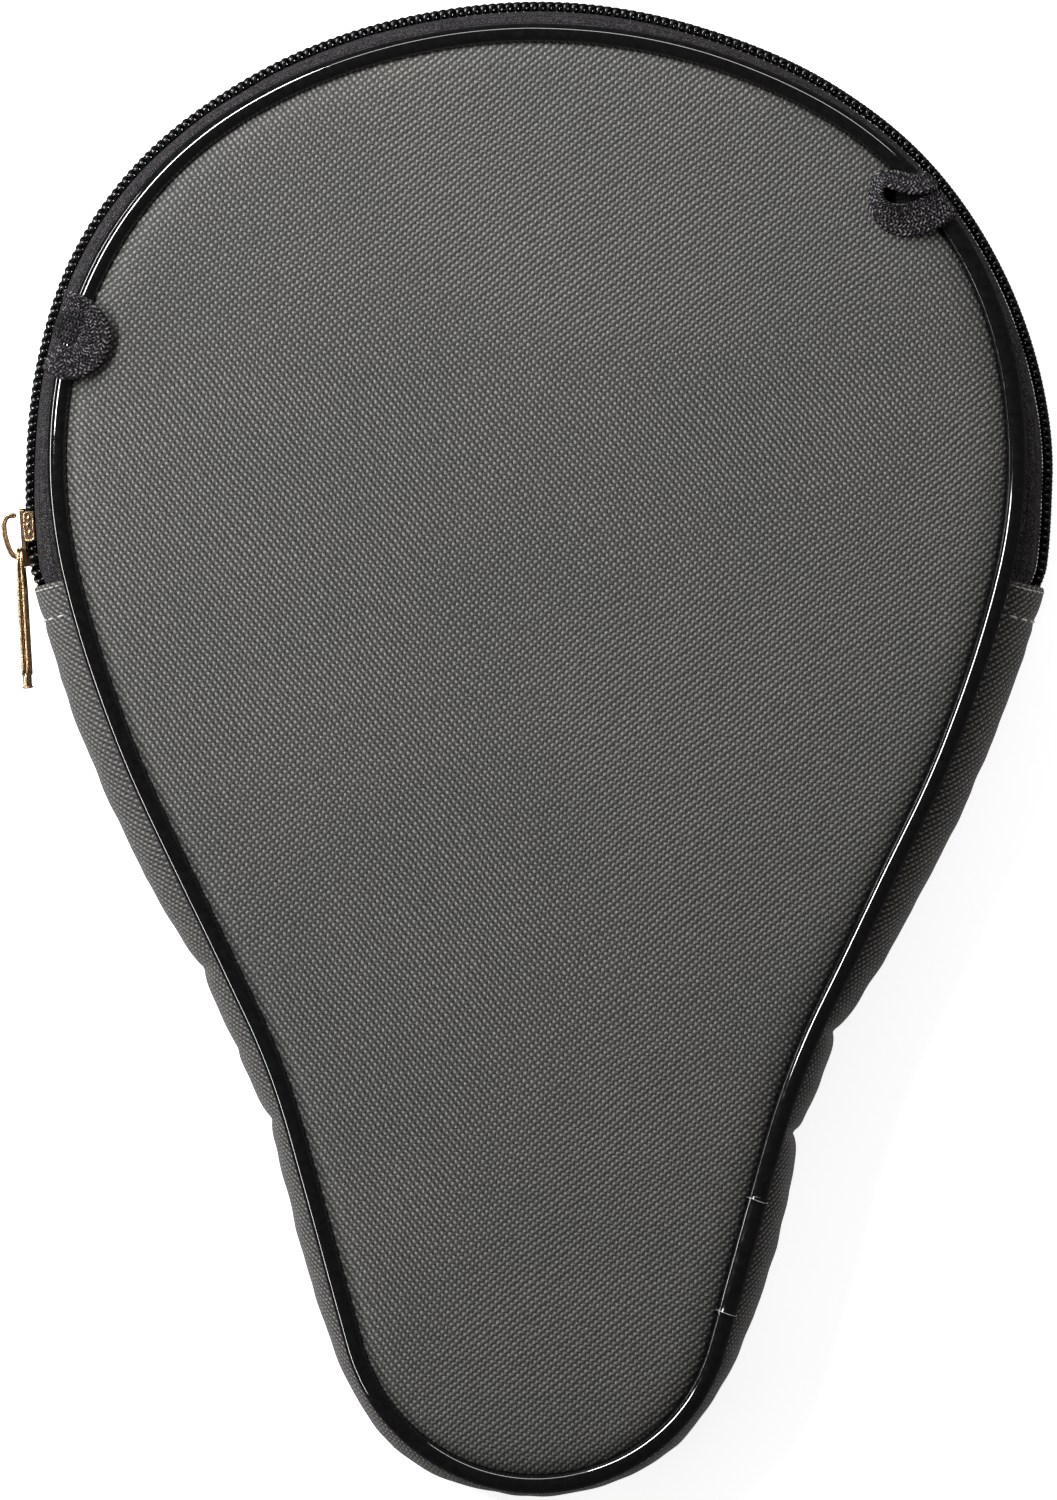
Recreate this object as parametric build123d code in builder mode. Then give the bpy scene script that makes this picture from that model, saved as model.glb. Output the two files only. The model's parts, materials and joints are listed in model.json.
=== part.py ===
from build123d import *

import os
from math import cos, radians, sin

os.makedirs("parts", exist_ok=True)

# A zipped, padded case for a table-tennis bat, lying flat on its back.
# Millimetres.  +Z is up, out of the front panel; +Y is the rounded head; the handle end is at -Y.
# The origin is on the resting plane, under the centre of the zip's arc.

# The outline: the centre line of the piping, right half, from the top of the head downwards.
# Every arc starts where the last one ends, in the same direction.
TOP_Y = 93.4
CROWN_R = 116.6
CROWN_ARC = 29.16
SHOULDER_R = 75.5
SHOULDER_ARC = 50.08
CHEEK_R = 99.0
CHEEK_ARC = 25.02
FLANK_R = 259.5
FLANK_ARC = 11.46
TAPER_LENGTH = 40.3
NECK_R = 158.8
NECK_ARC = 10.42
HANDLE_LENGTH = 42.4
CORNER_R = 37.9
CORNER_ARC = 33.49
BUTT_ARC = 180 - CROWN_ARC - SHOULDER_ARC - CHEEK_ARC - FLANK_ARC + NECK_ARC - CORNER_ARC

# Levels
THICKNESS = 24.0
MID_Z = THICKNESS / 2
PIPING_R = 2.0
PANEL_T = 0.8
PADDING_T = 3.0
LINING_T = 0.4
BINDING_T = 1.6
BINDING_W = 7.8

# How far inside the piping's centre line each layer stops
PANEL_INSET = PIPING_R + 0.05
PADDING_INSET = PIPING_R + 0.4
LINING_INSET = PIPING_R + 0.2

# The fold across the front, between the two ends of the zip, and the gap cut there
FOLD_Y = -15.7
FOLD_GAP = 0.3

# The gusset round the handle end: a bulging strip from one piping to the other
GUSSET_BULGE = 4.6
GUSSET_T = 0.8
GUSSET_LINING_T = 0.3
SEAM_Z = PIPING_R * 2 + 0.05

# The zip: two coils on tapes, on an arc about the origin
ZIP_R = 102.0
COIL_T = 2.0
COIL_W = 1.8
COIL_GAP = 0.9
TAPE_T = 0.6
TAPE_BEND_Z = 4.0
ZIP_END_Y = FOLD_Y + FOLD_GAP

# The slider, in its own directions: along the zip (nose first), outwards, and across (Z)
SLIDER_ANGLE = 184.07
SLIDER_HALF_LENGTH = 5.85
SLIDER_HALF_WIDTH = 3.7
SLIDER_TAIL_HALF_WIDTH = 3.65
SLIDER_NOSE_HALF_WIDTH = 1.5
SLIDER_NOSE_TAPER = 3.4
PLATE_CORNER_R = 0.6
OUTER_PLATE = 1.3
OUTER_PLATE_T = 0.8
INNER_PLATE = -2.0
INNER_PLATE_T = 0.9
FLANGE_T = 0.65
FLANGE_REACH = 2.0
FLANGE_END = 0.7
NECK_START = 2.4
NECK_END = 5.3
NECK_HALF_WIDTH = 0.7
PLATE_TOP = OUTER_PLATE + OUTER_PLATE_T

# The crown: an open hook of strip that the pull hangs on
CROWN_STRIP_T = 0.9
CROWN_STRIP_W = 2.2
CROWN_BEND_R = 0.9

# The pull: a bar through the crown, two rails, and a long flat tab with a lip
BAR_ALONG = 2.5
BAR_OUT = 2.85
BAR_R = 0.45
PULL_LENGTH = 28.0
PULL_W = 4.8
PULL_T = 1.6
PULL_WINDOW = 3.7
RAIL_INNER = 1.4
RAIL_T = 1.2
LIP_T = 2.2
LIP_LENGTH = 0.9

# The joint sleeve that covers the two ends of the front piping
SLEEVE_R = 2.35
SLEEVE_BORE_R = 2.03
SLEEVE_TOP_Y = -139.0
SLEEVE_END_Y = -163.0
SLEEVE_SLOT = 2.4

# The two webbing loops sewn into the head's seam
LOOP_ANGLES = {"webbing_loop_right": 38.6, "webbing_loop_left": 160.6}
LOOP_LENGTH = 14.0
LOOP_DEPTH = 12.0
LOOP_H = 3.0
LOOP_EYE_LENGTH = 7.0
LOOP_EYE_DEPTH = 3.4
LOOP_ROOT_T = 1.0
LOOP_ROOT_W = 9.0

# The stitches across each gathered end of the gusset
STITCH_Y = -21.9
STITCH_T = 0.34
STITCH_COUNT = 5
STITCH_SPREAD = 96.0
STITCH_FILL = 0.62


def half_outline(offset):
    """The right half of the outline, moved outwards by offset, as lines from top to bottom."""
    with BuildLine() as half:
        crown = JernArc((0, TOP_Y + offset), (1, 0), CROWN_R + offset, -CROWN_ARC)
        shoulder = JernArc(crown @ 1, crown % 1, SHOULDER_R + offset, -SHOULDER_ARC)
        cheek = JernArc(shoulder @ 1, shoulder % 1, CHEEK_R + offset, -CHEEK_ARC)
        flank = JernArc(cheek @ 1, cheek % 1, FLANK_R + offset, -FLANK_ARC)
        taper = Line(flank @ 1, flank @ 1 + (flank % 1) * TAPER_LENGTH)
        neck = JernArc(taper @ 1, taper % 1, NECK_R - offset, NECK_ARC)
        handle = Line(neck @ 1, neck @ 1 + (neck % 1) * HANDLE_LENGTH)
        corner = JernArc(handle @ 1, handle % 1, CORNER_R + offset, -CORNER_ARC)
        butt_r = (corner @ 1).X / sin(radians(BUTT_ARC))
        JernArc(corner @ 1, corner % 1, butt_r, -BUTT_ARC)
    return half.line


def outline_loop():
    """The whole outline as a closed path at the resting plane."""
    with BuildLine() as loop:
        add(half_outline(0))
        mirror(about=Plane.YZ)
    return loop.wire()


def outline_face(offset, level):
    """The area inside the outline, moved outwards by offset, at a height."""
    with BuildSketch(Plane.XY.offset(level)) as face:
        with BuildLine():
            add(half_outline(offset))
            mirror(about=Plane.YZ)
        make_face()
    return face.sketch


def outline_ring(outside, inside, level):
    """The band between two offsets of the outline, at a height."""
    with BuildSketch(Plane.XY.offset(level)) as ring:
        with BuildLine():
            add(half_outline(outside))
            mirror(about=Plane.YZ)
        make_face()
        with BuildLine():
            add(half_outline(inside))
            mirror(about=Plane.YZ)
        make_face(mode=Mode.SUBTRACT)
    return ring.sketch


def outline_plane(test):
    """The section plane where the right half first meets test: x outwards, y up, z along it."""
    half = Wire(half_outline(0).edges())
    low = 0.0
    high = 1.0
    for _ in range(40):
        middle = (low + high) / 2
        if test(half @ middle):
            high = middle
        else:
            low = middle
    spot = half @ low
    along = half % low
    outward = Vector(-along.Y, along.X, 0)
    return Plane(origin=spot, x_dir=outward, z_dir=along)


# The section at the top of the head, where every sweep's profile is drawn: x outwards, y up.
TOP_SECTION = Plane(origin=(0, TOP_Y, 0), x_dir=(0, 1, 0), z_dir=(1, 0, 0))
ABOVE_FOLD = Plane(origin=(0, FOLD_Y + FOLD_GAP / 2, 0), z_dir=(0, 1, 0))
BELOW_FOLD = Plane(origin=(0, FOLD_Y - FOLD_GAP / 2, 0), z_dir=(0, 1, 0))
ABOVE_ZIP_END = Plane(origin=(0, ZIP_END_Y, 0), z_dir=(0, 1, 0))
PATH = outline_loop()


def finish(part, name):
    """Label a finished piece and write it."""
    part.label = name
    export_step(part, "parts/" + name + ".step")
    print(name, round(part.volume, 1))


# ---- Back: outer panel, foam, lining, and the bound seam inside ----
with BuildPart() as back_panel:
    extrude(outline_face(-PANEL_INSET, 0), amount=PANEL_T)
finish(back_panel.part, "back_panel")

with BuildPart() as back_padding:
    extrude(outline_face(-PADDING_INSET, PANEL_T), amount=PADDING_T)
finish(back_padding.part, "back_padding")

with BuildPart() as back_lining:
    extrude(outline_face(-LINING_INSET, PANEL_T + PADDING_T), amount=LINING_T)
finish(back_lining.part, "back_lining")

LAYERS_T = PANEL_T + PADDING_T + LINING_T

with BuildPart() as back_seam_binding:
    extrude(outline_ring(-LINING_INSET, -LINING_INSET - BINDING_W, LAYERS_T), amount=BINDING_T)
finish(back_seam_binding.part, "back_seam_binding")

with BuildPart() as back_piping:
    with BuildSketch(TOP_SECTION):
        with Locations((0, PIPING_R)):
            Circle(PIPING_R)
    sweep(path=PATH)
finish(back_piping.part, "back_piping")


# ---- Front: the same layers, cut along the fold into a lower part and an upper flap ----
def front_layer(inset, bottom, thickness, name, keep_plane, side):
    """One layer of the front, on one side of the fold."""
    with BuildPart() as layer:
        extrude(outline_face(-inset, bottom), amount=thickness)
        split(bisect_by=keep_plane, keep=side)
    finish(layer.part, name)


def front_binding(name, keep_plane, side):
    """The bound seam inside the front, on one side of the fold."""
    level = THICKNESS - LAYERS_T - BINDING_T
    with BuildPart() as binding:
        extrude(outline_ring(-LINING_INSET, -LINING_INSET - BINDING_W, level), amount=BINDING_T)
        split(bisect_by=keep_plane, keep=side)
    finish(binding.part, name)


def front_piping(name, keep_plane, side):
    """The front piping's bead, on one side of the fold."""
    with BuildPart() as bead:
        with BuildSketch(TOP_SECTION):
            with Locations((0, THICKNESS - PIPING_R)):
                Circle(PIPING_R)
        sweep(path=PATH)
        split(bisect_by=keep_plane, keep=side)
    finish(bead.part, name)


for suffix, keep_plane, side in (
    ("_upper", ABOVE_FOLD, Keep.TOP),
    ("_lower", BELOW_FOLD, Keep.BOTTOM),
):
    panel_z = THICKNESS - PANEL_T
    padding_z = panel_z - PADDING_T
    lining_z = padding_z - LINING_T
    front_layer(PANEL_INSET, panel_z, PANEL_T, "front_panel" + suffix, keep_plane, side)
    front_layer(PADDING_INSET, padding_z, PADDING_T, "front_padding" + suffix, keep_plane, side)
    front_layer(LINING_INSET, lining_z, LINING_T, "front_lining" + suffix, keep_plane, side)
    front_binding("front_seam_binding" + suffix, keep_plane, side)
    front_piping("front_piping" + suffix, keep_plane, side)


# ---- The sleeve over the piping's joint, open below where the seam passes ----
def drawn_below(height):
    """A test that is true once the outline has come down past a height."""
    return lambda spot: spot.Y < height


sleeve_start = outline_plane(drawn_below(SLEEVE_TOP_Y))
sleeve_end = outline_plane(drawn_below(SLEEVE_END_Y))

with BuildPart() as front_piping_sleeve:
    with BuildSketch(TOP_SECTION):
        with Locations((0, THICKNESS - PIPING_R)):
            Circle(SLEEVE_R)
            Circle(SLEEVE_BORE_R, mode=Mode.SUBTRACT)
        with Locations((0, THICKNESS - PIPING_R - SLEEVE_R)):
            Rectangle(SLEEVE_SLOT, SLEEVE_R * 2, mode=Mode.SUBTRACT)
    sweep(path=Wire(half_outline(0).edges()))
    split(bisect_by=sleeve_start, keep=Keep.TOP)
    split(bisect_by=sleeve_end, keep=Keep.BOTTOM)
finish(front_piping_sleeve.part, "front_piping_sleeve")


# ---- The gusset and its lining: bulging strips from piping to piping, below the fold ----
def gusset_strip(name, outer_bulge, thickness, edge_out):
    """A strip whose section is a C from the back piping to the front one."""
    with BuildPart() as strip:
        with BuildSketch(TOP_SECTION):
            with BuildLine():
                outer = ThreePointArc(
                    (edge_out, SEAM_Z),
                    (outer_bulge, MID_Z),
                    (edge_out, THICKNESS - SEAM_Z),
                )
                inner = ThreePointArc(
                    (edge_out - thickness, SEAM_Z),
                    (outer_bulge - thickness, MID_Z),
                    (edge_out - thickness, THICKNESS - SEAM_Z),
                )
                Line(outer @ 0, inner @ 0)
                Line(outer @ 1, inner @ 1)
            make_face()
        sweep(path=PATH)
        split(bisect_by=BELOW_FOLD, keep=Keep.BOTTOM)
    finish(strip.part, name)


gusset_strip("lower_gusset", GUSSET_BULGE, GUSSET_T, GUSSET_T / 2)
gusset_strip(
    "gusset_lining",
    GUSSET_BULGE - GUSSET_T - 0.05,
    GUSSET_LINING_T,
    -GUSSET_T / 2 - 0.05,
)


# ---- The stitches across each end of the gusset ----
chord = THICKNESS - 2 * SEAM_Z
rise = GUSSET_BULGE - GUSSET_T / 2
gusset_arc_r = (rise**2 + (chord / 2) ** 2) / (2 * rise)
gusset_arc_centre = GUSSET_BULGE - gusset_arc_r
stitch_step = STITCH_SPREAD / STITCH_COUNT
stitch_plane = outline_plane(drawn_below(STITCH_Y))
threads = [
    CenterArc(
        (gusset_arc_centre, MID_Z),
        gusset_arc_r + STITCH_T / 2 + 0.03,
        (index + (1 - STITCH_FILL) / 2) * stitch_step - STITCH_SPREAD / 2,
        stitch_step * STITCH_FILL,
    )
    for index in range(STITCH_COUNT)
]

for name, flip in (("zip_end_stitches_right", False), ("zip_end_stitches_left", True)):
    with BuildPart() as stitches:
        with BuildSketch(stitch_plane):
            for thread in threads:
                SlotArc(thread, STITCH_T)
        extrude(amount=STITCH_T)
        if flip:
            mirror(about=Plane.YZ, mode=Mode.REPLACE)
    finish(stitches.part, name)


# ---- The zip: a coil and a bent tape on each side of the middle plane ----
def zip_half(prefix, front):
    """One coil and its tape; the tape bends inwards to the seam beside the piping."""
    with BuildPart() as coil:
        with BuildSketch(Plane.XY.offset(MID_Z + COIL_GAP)):
            Circle(ZIP_R + COIL_T / 2)
            Circle(ZIP_R - COIL_T / 2, mode=Mode.SUBTRACT)
        extrude(amount=COIL_W)
        split(bisect_by=ABOVE_ZIP_END, keep=Keep.TOP)
        if not front:
            mirror(about=Plane.XY.offset(MID_Z), mode=Mode.REPLACE)
    finish(coil.part, prefix + "_zip_coil")

    tape_out = ZIP_R - COIL_T / 2
    bend_z = MID_Z + TAPE_BEND_Z
    with BuildPart() as tape:
        with BuildSketch(Plane.XY.offset(MID_Z + COIL_GAP)):
            Circle(tape_out)
            Circle(tape_out - TAPE_T, mode=Mode.SUBTRACT)
        extrude(amount=TAPE_BEND_Z - COIL_GAP + TAPE_T)
        with BuildSketch(Plane.XY.offset(bend_z)):
            Circle(tape_out)
            with BuildLine():
                add(half_outline(-TAPE_T / 2))
                mirror(about=Plane.YZ)
            make_face(mode=Mode.SUBTRACT)
        extrude(amount=TAPE_T)
        seam_ring = outline_ring(TAPE_T / 2, -TAPE_T / 2, bend_z)
        extrude(seam_ring, amount=THICKNESS - SEAM_Z - bend_z)
        split(bisect_by=ABOVE_ZIP_END, keep=Keep.TOP)
        if not front:
            mirror(about=Plane.XY.offset(MID_Z), mode=Mode.REPLACE)
    finish(tape.part, prefix + "_zip_tape")


zip_half("front", True)
zip_half("back", False)


# ---- The webbing loops: a ring lying over the piping, with a root down into the seam ----
for name, angle in LOOP_ANGLES.items():
    mirrored = angle > 90
    right_angle = 180 - angle if mirrored else angle
    slope = sin(radians(right_angle)) / cos(radians(right_angle))
    section = outline_plane(lambda spot, slope=slope: spot.Y < spot.X * slope)
    ring_z = THICKNESS + 0.05
    ring_middle = PIPING_R + 0.05 + LOOP_ROOT_T - LOOP_DEPTH / 2
    ring_plane = Plane(
        origin=section.origin + section.x_dir * ring_middle + Vector(0, 0, ring_z),
        x_dir=section.z_dir,
        z_dir=(0, 0, 1),
    )
    root_in = PIPING_R + 0.05
    foot_z = THICKNESS - SEAM_Z - 2.0
    with BuildPart() as loop:
        with BuildSketch(ring_plane):
            RectangleRounded(LOOP_LENGTH, LOOP_DEPTH, LOOP_DEPTH / 2 - 0.5)
            SlotOverall(LOOP_EYE_LENGTH, LOOP_EYE_DEPTH, mode=Mode.SUBTRACT)
        extrude(amount=LOOP_H)
        with BuildSketch(section):
            with Locations((root_in, foot_z)):
                Rectangle(LOOP_ROOT_T, ring_z - foot_z + 0.5, align=(Align.MIN, Align.MIN))
            with Locations((TAPE_T / 2 + 0.02, foot_z)):
                Rectangle(root_in, 0.9, align=(Align.MIN, Align.MIN))
        extrude(amount=LOOP_ROOT_W / 2, both=True)
        if mirrored:
            mirror(about=Plane.YZ, mode=Mode.REPLACE)
    finish(loop.part, name)


# ---- The slider: two plates joined by a neck at the nose, with flanges at the tail ----
turn = radians(SLIDER_ANGLE)
slider_spot = Vector(ZIP_R * cos(turn), ZIP_R * sin(turn), MID_Z)
slider_along = Vector(-sin(turn), cos(turn), 0)
slider_out = Vector(cos(turn), sin(turn), 0)

# x along the zip and y outwards, for whatever has the same shape right across the slider
side_plane = Plane(origin=slider_spot, x_dir=slider_along, z_dir=(0, 0, -1))


def plate_plane(out):
    """A plane parallel to the slider's plates, at a distance outwards from the coil."""
    return Plane(origin=slider_spot + slider_out * out, x_dir=slider_along, z_dir=slider_out)


def plate_face(out):
    """A plate's outline: a blunt nose, widest at the shoulders, with a straight tail."""
    shoulder = SLIDER_HALF_LENGTH - SLIDER_NOSE_TAPER
    with BuildSketch(plate_plane(out)) as plate:
        with BuildLine():
            Polyline(
                (-SLIDER_HALF_LENGTH, -SLIDER_TAIL_HALF_WIDTH),
                (shoulder, -SLIDER_HALF_WIDTH),
                (SLIDER_HALF_LENGTH, -SLIDER_NOSE_HALF_WIDTH),
                (SLIDER_HALF_LENGTH, SLIDER_NOSE_HALF_WIDTH),
                (shoulder, SLIDER_HALF_WIDTH),
                (-SLIDER_HALF_LENGTH, SLIDER_TAIL_HALF_WIDTH),
                close=True,
            )
        make_face()
        fillet(plate.vertices(), PLATE_CORNER_R)
    return plate.sketch


def flange_faces(out):
    """The two strips along the sides of the tail."""
    length = FLANGE_END + SLIDER_HALF_LENGTH - PLATE_CORNER_R
    middle = FLANGE_END - length / 2
    across = SLIDER_TAIL_HALF_WIDTH - FLANGE_T / 2
    with BuildSketch(plate_plane(out)) as flanges:
        with Locations((middle, across), (middle, -across)):
            Rectangle(length, FLANGE_T)
    return flanges.sketch


with BuildPart() as slider_body:
    extrude(plate_face(OUTER_PLATE), amount=OUTER_PLATE_T)
    extrude(plate_face(INNER_PLATE), amount=-INNER_PLATE_T)
    extrude(flange_faces(OUTER_PLATE), amount=-FLANGE_REACH)
    with BuildSketch(plate_plane(INNER_PLATE)):
        neck_middle = (NECK_START + NECK_END) / 2
        with Locations((neck_middle, 0)):
            SlotOverall(NECK_END - NECK_START, NECK_HALF_WIDTH * 2)
    extrude(amount=OUTER_PLATE - INNER_PLATE)
finish(slider_body.part, "slider_body")

with BuildPart() as slider_crown:
    with BuildSketch(side_plane):
        with BuildLine() as hook:
            FilletPolyline(
                (-4.2, 3.3),
                (-3.3, 5.3),
                (1.7, 5.35),
                (3.9, 4.3),
                (5.05, PLATE_TOP - 0.3),
                radius=CROWN_BEND_R,
            )
        trace(line_width=CROWN_STRIP_T)
    extrude(amount=CROWN_STRIP_W / 2, both=True)
    split(bisect_by=plate_plane(PLATE_TOP), keep=Keep.TOP)
finish(slider_crown.part, "slider_crown")


# ---- The pull: its bar passes through the crown, and its tab hangs past the nose ----
with BuildPart() as pull_tab:
    tab_start = BAR_ALONG + PULL_WINDOW
    tab_end = BAR_ALONG + PULL_LENGTH
    with BuildSketch(side_plane):
        with Locations((BAR_ALONG, BAR_OUT)):
            Circle(RAIL_T / 2)
            Rectangle(PULL_WINDOW + 0.5, RAIL_T, align=(Align.MIN, Align.CENTER))
        with Locations((tab_start, BAR_OUT)):
            Rectangle(tab_end - tab_start, PULL_T, align=(Align.MIN, Align.CENTER))
        with Locations((tab_end - LIP_LENGTH, BAR_OUT)):
            Rectangle(LIP_LENGTH, LIP_T, align=(Align.MIN, Align.CENTER))
    extrude(amount=PULL_W / 2, both=True)
    with BuildSketch(side_plane):
        with Locations((BAR_ALONG - RAIL_T, BAR_OUT)):
            Rectangle(PULL_WINDOW + RAIL_T, PULL_T, align=(Align.MIN, Align.CENTER))
    extrude(amount=RAIL_INNER, both=True, mode=Mode.SUBTRACT)
    with BuildSketch(side_plane):
        with Locations((BAR_ALONG, BAR_OUT)):
            Circle(BAR_R)
    extrude(amount=RAIL_INNER, both=True)
finish(pull_tab.part, "pull_tab")
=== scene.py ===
import json
import math

import bmesh
import bpy
import numpy as np
from mathutils import Matrix, Vector, noise


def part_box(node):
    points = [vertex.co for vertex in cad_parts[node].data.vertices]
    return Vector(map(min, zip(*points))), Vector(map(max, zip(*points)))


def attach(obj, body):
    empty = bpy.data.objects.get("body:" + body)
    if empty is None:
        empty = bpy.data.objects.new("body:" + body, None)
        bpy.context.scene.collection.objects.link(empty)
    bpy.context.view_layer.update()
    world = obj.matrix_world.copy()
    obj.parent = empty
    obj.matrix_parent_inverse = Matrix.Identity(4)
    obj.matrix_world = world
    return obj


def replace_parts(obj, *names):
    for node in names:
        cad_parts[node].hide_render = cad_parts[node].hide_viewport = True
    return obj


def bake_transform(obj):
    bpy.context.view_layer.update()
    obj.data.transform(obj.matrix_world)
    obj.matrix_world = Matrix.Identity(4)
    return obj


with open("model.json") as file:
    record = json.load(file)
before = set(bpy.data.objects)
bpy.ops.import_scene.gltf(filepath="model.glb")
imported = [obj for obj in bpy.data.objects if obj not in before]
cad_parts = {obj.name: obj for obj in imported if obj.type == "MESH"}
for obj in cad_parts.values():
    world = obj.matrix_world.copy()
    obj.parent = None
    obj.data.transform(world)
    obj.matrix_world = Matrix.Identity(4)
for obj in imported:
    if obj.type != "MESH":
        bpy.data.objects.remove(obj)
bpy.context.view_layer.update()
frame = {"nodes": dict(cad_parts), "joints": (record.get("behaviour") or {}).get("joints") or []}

# Everything below is worked out in millimetres and turned into metres when a mesh is made.
MM = 0.001

# ---------------------------------------------------------------- sizes from the frame
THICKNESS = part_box("front_piping_upper")[1].z / MM
MID_Z = THICKNESS / 2
PIPING_R = (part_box("back_piping")[1].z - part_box("back_piping")[0].z) / 2 / MM
FRONT_SEAM_Z = THICKNESS - PIPING_R
JOINTS = {joint["name"]: joint for joint in frame["joints"]}
FOLD_Y = JOINTS["flap_open"]["pos_m"][1] / MM
ZIP_R = (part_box("back_zip_coil")[1].y / MM) - 1.0

# ---------------------------------------------------------------- the outline
# The piping's centre line, right half, from the top of the head down: tangent arcs and lines.
TOP_Y = 93.4
ARC = "arc"
LINE = "line"
BACK_ARC = "back arc"
HALF_OUTLINE = (
    (ARC, 116.6, 29.16),
    (ARC, 75.5, 50.08),
    (ARC, 99.0, 25.02),
    (ARC, 259.5, 11.46),
    (LINE, 40.3, 0),
    (BACK_ARC, 158.8, 10.42),
    (LINE, 42.4, 0),
    (ARC, 37.9, 33.49),
)
OUTLINE_STEP = 0.5


def half_outline():
    """Points down the right half of the outline, about OUTLINE_STEP apart."""
    x, y, heading = 0.0, TOP_Y, 0.0
    points = [(x, y)]

    def run(length, turn):
        """Walk a stretch of this length that turns clockwise by turn radians."""
        nonlocal x, y, heading
        count = max(2, math.ceil(length / OUTLINE_STEP))
        for _ in range(count):
            heading += turn / count / 2
            x += math.cos(heading) * length / count
            y -= math.sin(heading) * length / count
            heading += turn / count / 2
            points.append((x, y))

    for kind, size, degrees in HALF_OUTLINE:
        turn = math.radians(degrees)
        if kind == LINE:
            run(size, 0.0)
        elif kind == ARC:
            run(size * turn, turn)
        else:
            run(size * turn, -turn)
    closing = math.pi - heading
    run(x / math.sin(closing) * closing, closing)
    points[-1] = (0.0, points[-1][1])
    return np.array(points)


def running_sum(steps):
    """The sum before each step, and after the last one."""
    return np.concatenate([[0], np.cumsum(steps)])


RIGHT = half_outline()
LOOP = np.vstack([RIGHT, RIGHT[-2:0:-1] * (-1, 1)])
LOOP_S = running_sum(np.hypot(*np.diff(np.vstack([LOOP, LOOP[:1]]), axis=0).T))
LENGTH = LOOP_S[-1]
LOOP_T = np.roll(LOOP, -1, 0) - np.roll(LOOP, 1, 0)
LOOP_T /= np.hypot(*LOOP_T.T)[:, None]


def outline_at(s):
    """The outline's points and outward normals at distances s clockwise from the top."""
    s = np.asarray(s) % LENGTH
    closed = np.vstack([LOOP, LOOP[:1]])
    tangents = np.vstack([LOOP_T, LOOP_T[:1]])
    point = np.stack([np.interp(s, LOOP_S, closed[:, i]) for i in (0, 1)], -1)
    along = np.stack([np.interp(s, LOOP_S, tangents[:, i]) for i in (0, 1)], -1)
    along /= np.linalg.norm(along, axis=-1, keepdims=True)
    return point, np.stack([-along[..., 1], along[..., 0]], -1)


def right_s(y):
    """How far down the right half the outline comes to the height y."""
    return float(np.interp(-y, -RIGHT[:, 1], LOOP_S[: len(RIGHT)]))


def outline_distance(xy):
    """The distance from each point to the outline, worked out in batches to save memory."""
    batch = 4000
    flat = xy.reshape(-1, 2)
    out = np.empty(len(flat))
    for first in range(0, len(flat), batch):
        part = flat[first : first + batch]
        gap = part[:, None, :] - LOOP[None, ::2, :]
        out[first : first + batch] = np.sqrt((gap**2).sum(-1).min(1))
    return out.reshape(xy.shape[:-1])


def wobble(points, scale, seed):
    """Smooth noise from -1 to 1 at each point; scale is the size of its bumps in mm."""
    flat = points.reshape(-1, points.shape[-1]) / scale
    if flat.shape[1] == 2:
        flat = np.column_stack([flat, np.full(len(flat), float(seed))])
    else:
        flat = flat + (0, 0, seed)
    return np.array([noise.noise(p) for p in flat]).reshape(points.shape[:-1])


def wobble_along(s, scale, seed):
    """The same noise at distances s along one line."""
    return wobble(np.stack([s, s * 0], -1), scale, seed)


def smooth(x):
    """A smooth step from 0 to 1."""
    x = np.clip(x, 0, 1)
    return x * x * (3 - 2 * x)


def around(count):
    """Angles in radians, evenly round a circle."""
    return np.arange(count) * 2 * math.pi / count


def squarer(wave, power):
    """A sine or cosine with a power under 1, which turns a round section into a rounded box."""
    return np.sign(wave) * np.abs(wave) ** power


def unit(rows):
    """Each row as a direction of length 1."""
    return rows / np.linalg.norm(rows, axis=1, keepdims=True)


def uv_grid(u, v):
    """A grid of UV pairs from the places along u and along v."""
    return np.stack(np.meshgrid(u, v, indexing="ij"), -1)


def catmull(rows, steps):
    """A smooth run of rows through the given ones, steps to each gap."""
    rows = np.asarray(rows, float)
    padded = np.vstack([2 * rows[0] - rows[1], rows, 2 * rows[-1] - rows[-2]])
    t = np.linspace(0, 1, steps, endpoint=False)[:, None]
    out = []
    for a, b, c, d in zip(padded[:-3], padded[1:-2], padded[2:-1], padded[3:]):
        out.append(b + 0.5 * t * (c - a + t * (2 * a - 5 * b + 4 * c - d + t * (3 * (b - c) + d - a))))
    return np.vstack([*out, rows[-1:]])


# ---------------------------------------------------------------- meshes
def mesh_object(name, vertices, faces, uv=None):
    """An object from vertices in mm, faces, and a UV pair for each face corner."""
    mesh = bpy.data.meshes.new(name)
    mesh.from_pydata((np.asarray(vertices) * MM).tolist(), [], [list(f) for f in faces])
    layer = mesh.uv_layers.new(name="UVMap")
    if uv is not None:
        layer.data.foreach_set("uv", np.asarray(uv, np.float32).ravel())
    mesh.polygons.foreach_set("use_smooth", [True] * len(mesh.polygons))
    thing = bpy.data.objects.new(name, mesh)
    bpy.context.scene.collection.objects.link(thing)
    return thing


def grid(name, points, uv, wrap_u=False, wrap_v=False):
    """A mesh from a grid of points; uv (mm) has one more row or column where the grid wraps."""
    rows, columns = points.shape[:2]
    row, column = np.meshgrid(
        np.arange(rows if wrap_u else rows - 1),
        np.arange(columns if wrap_v else columns - 1),
        indexing="ij",
    )
    corners = ((0, 0), (1, 0), (1, 1), (0, 1))
    quads = np.stack(
        [(row + a) % rows * columns + (column + b) % columns for a, b in corners], -1
    )
    uvs = np.stack([uv[row + a, column + b] for a, b in corners], 2)
    return mesh_object(name, points.reshape(-1, 3), quads.reshape(-1, 4), uvs)


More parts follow.
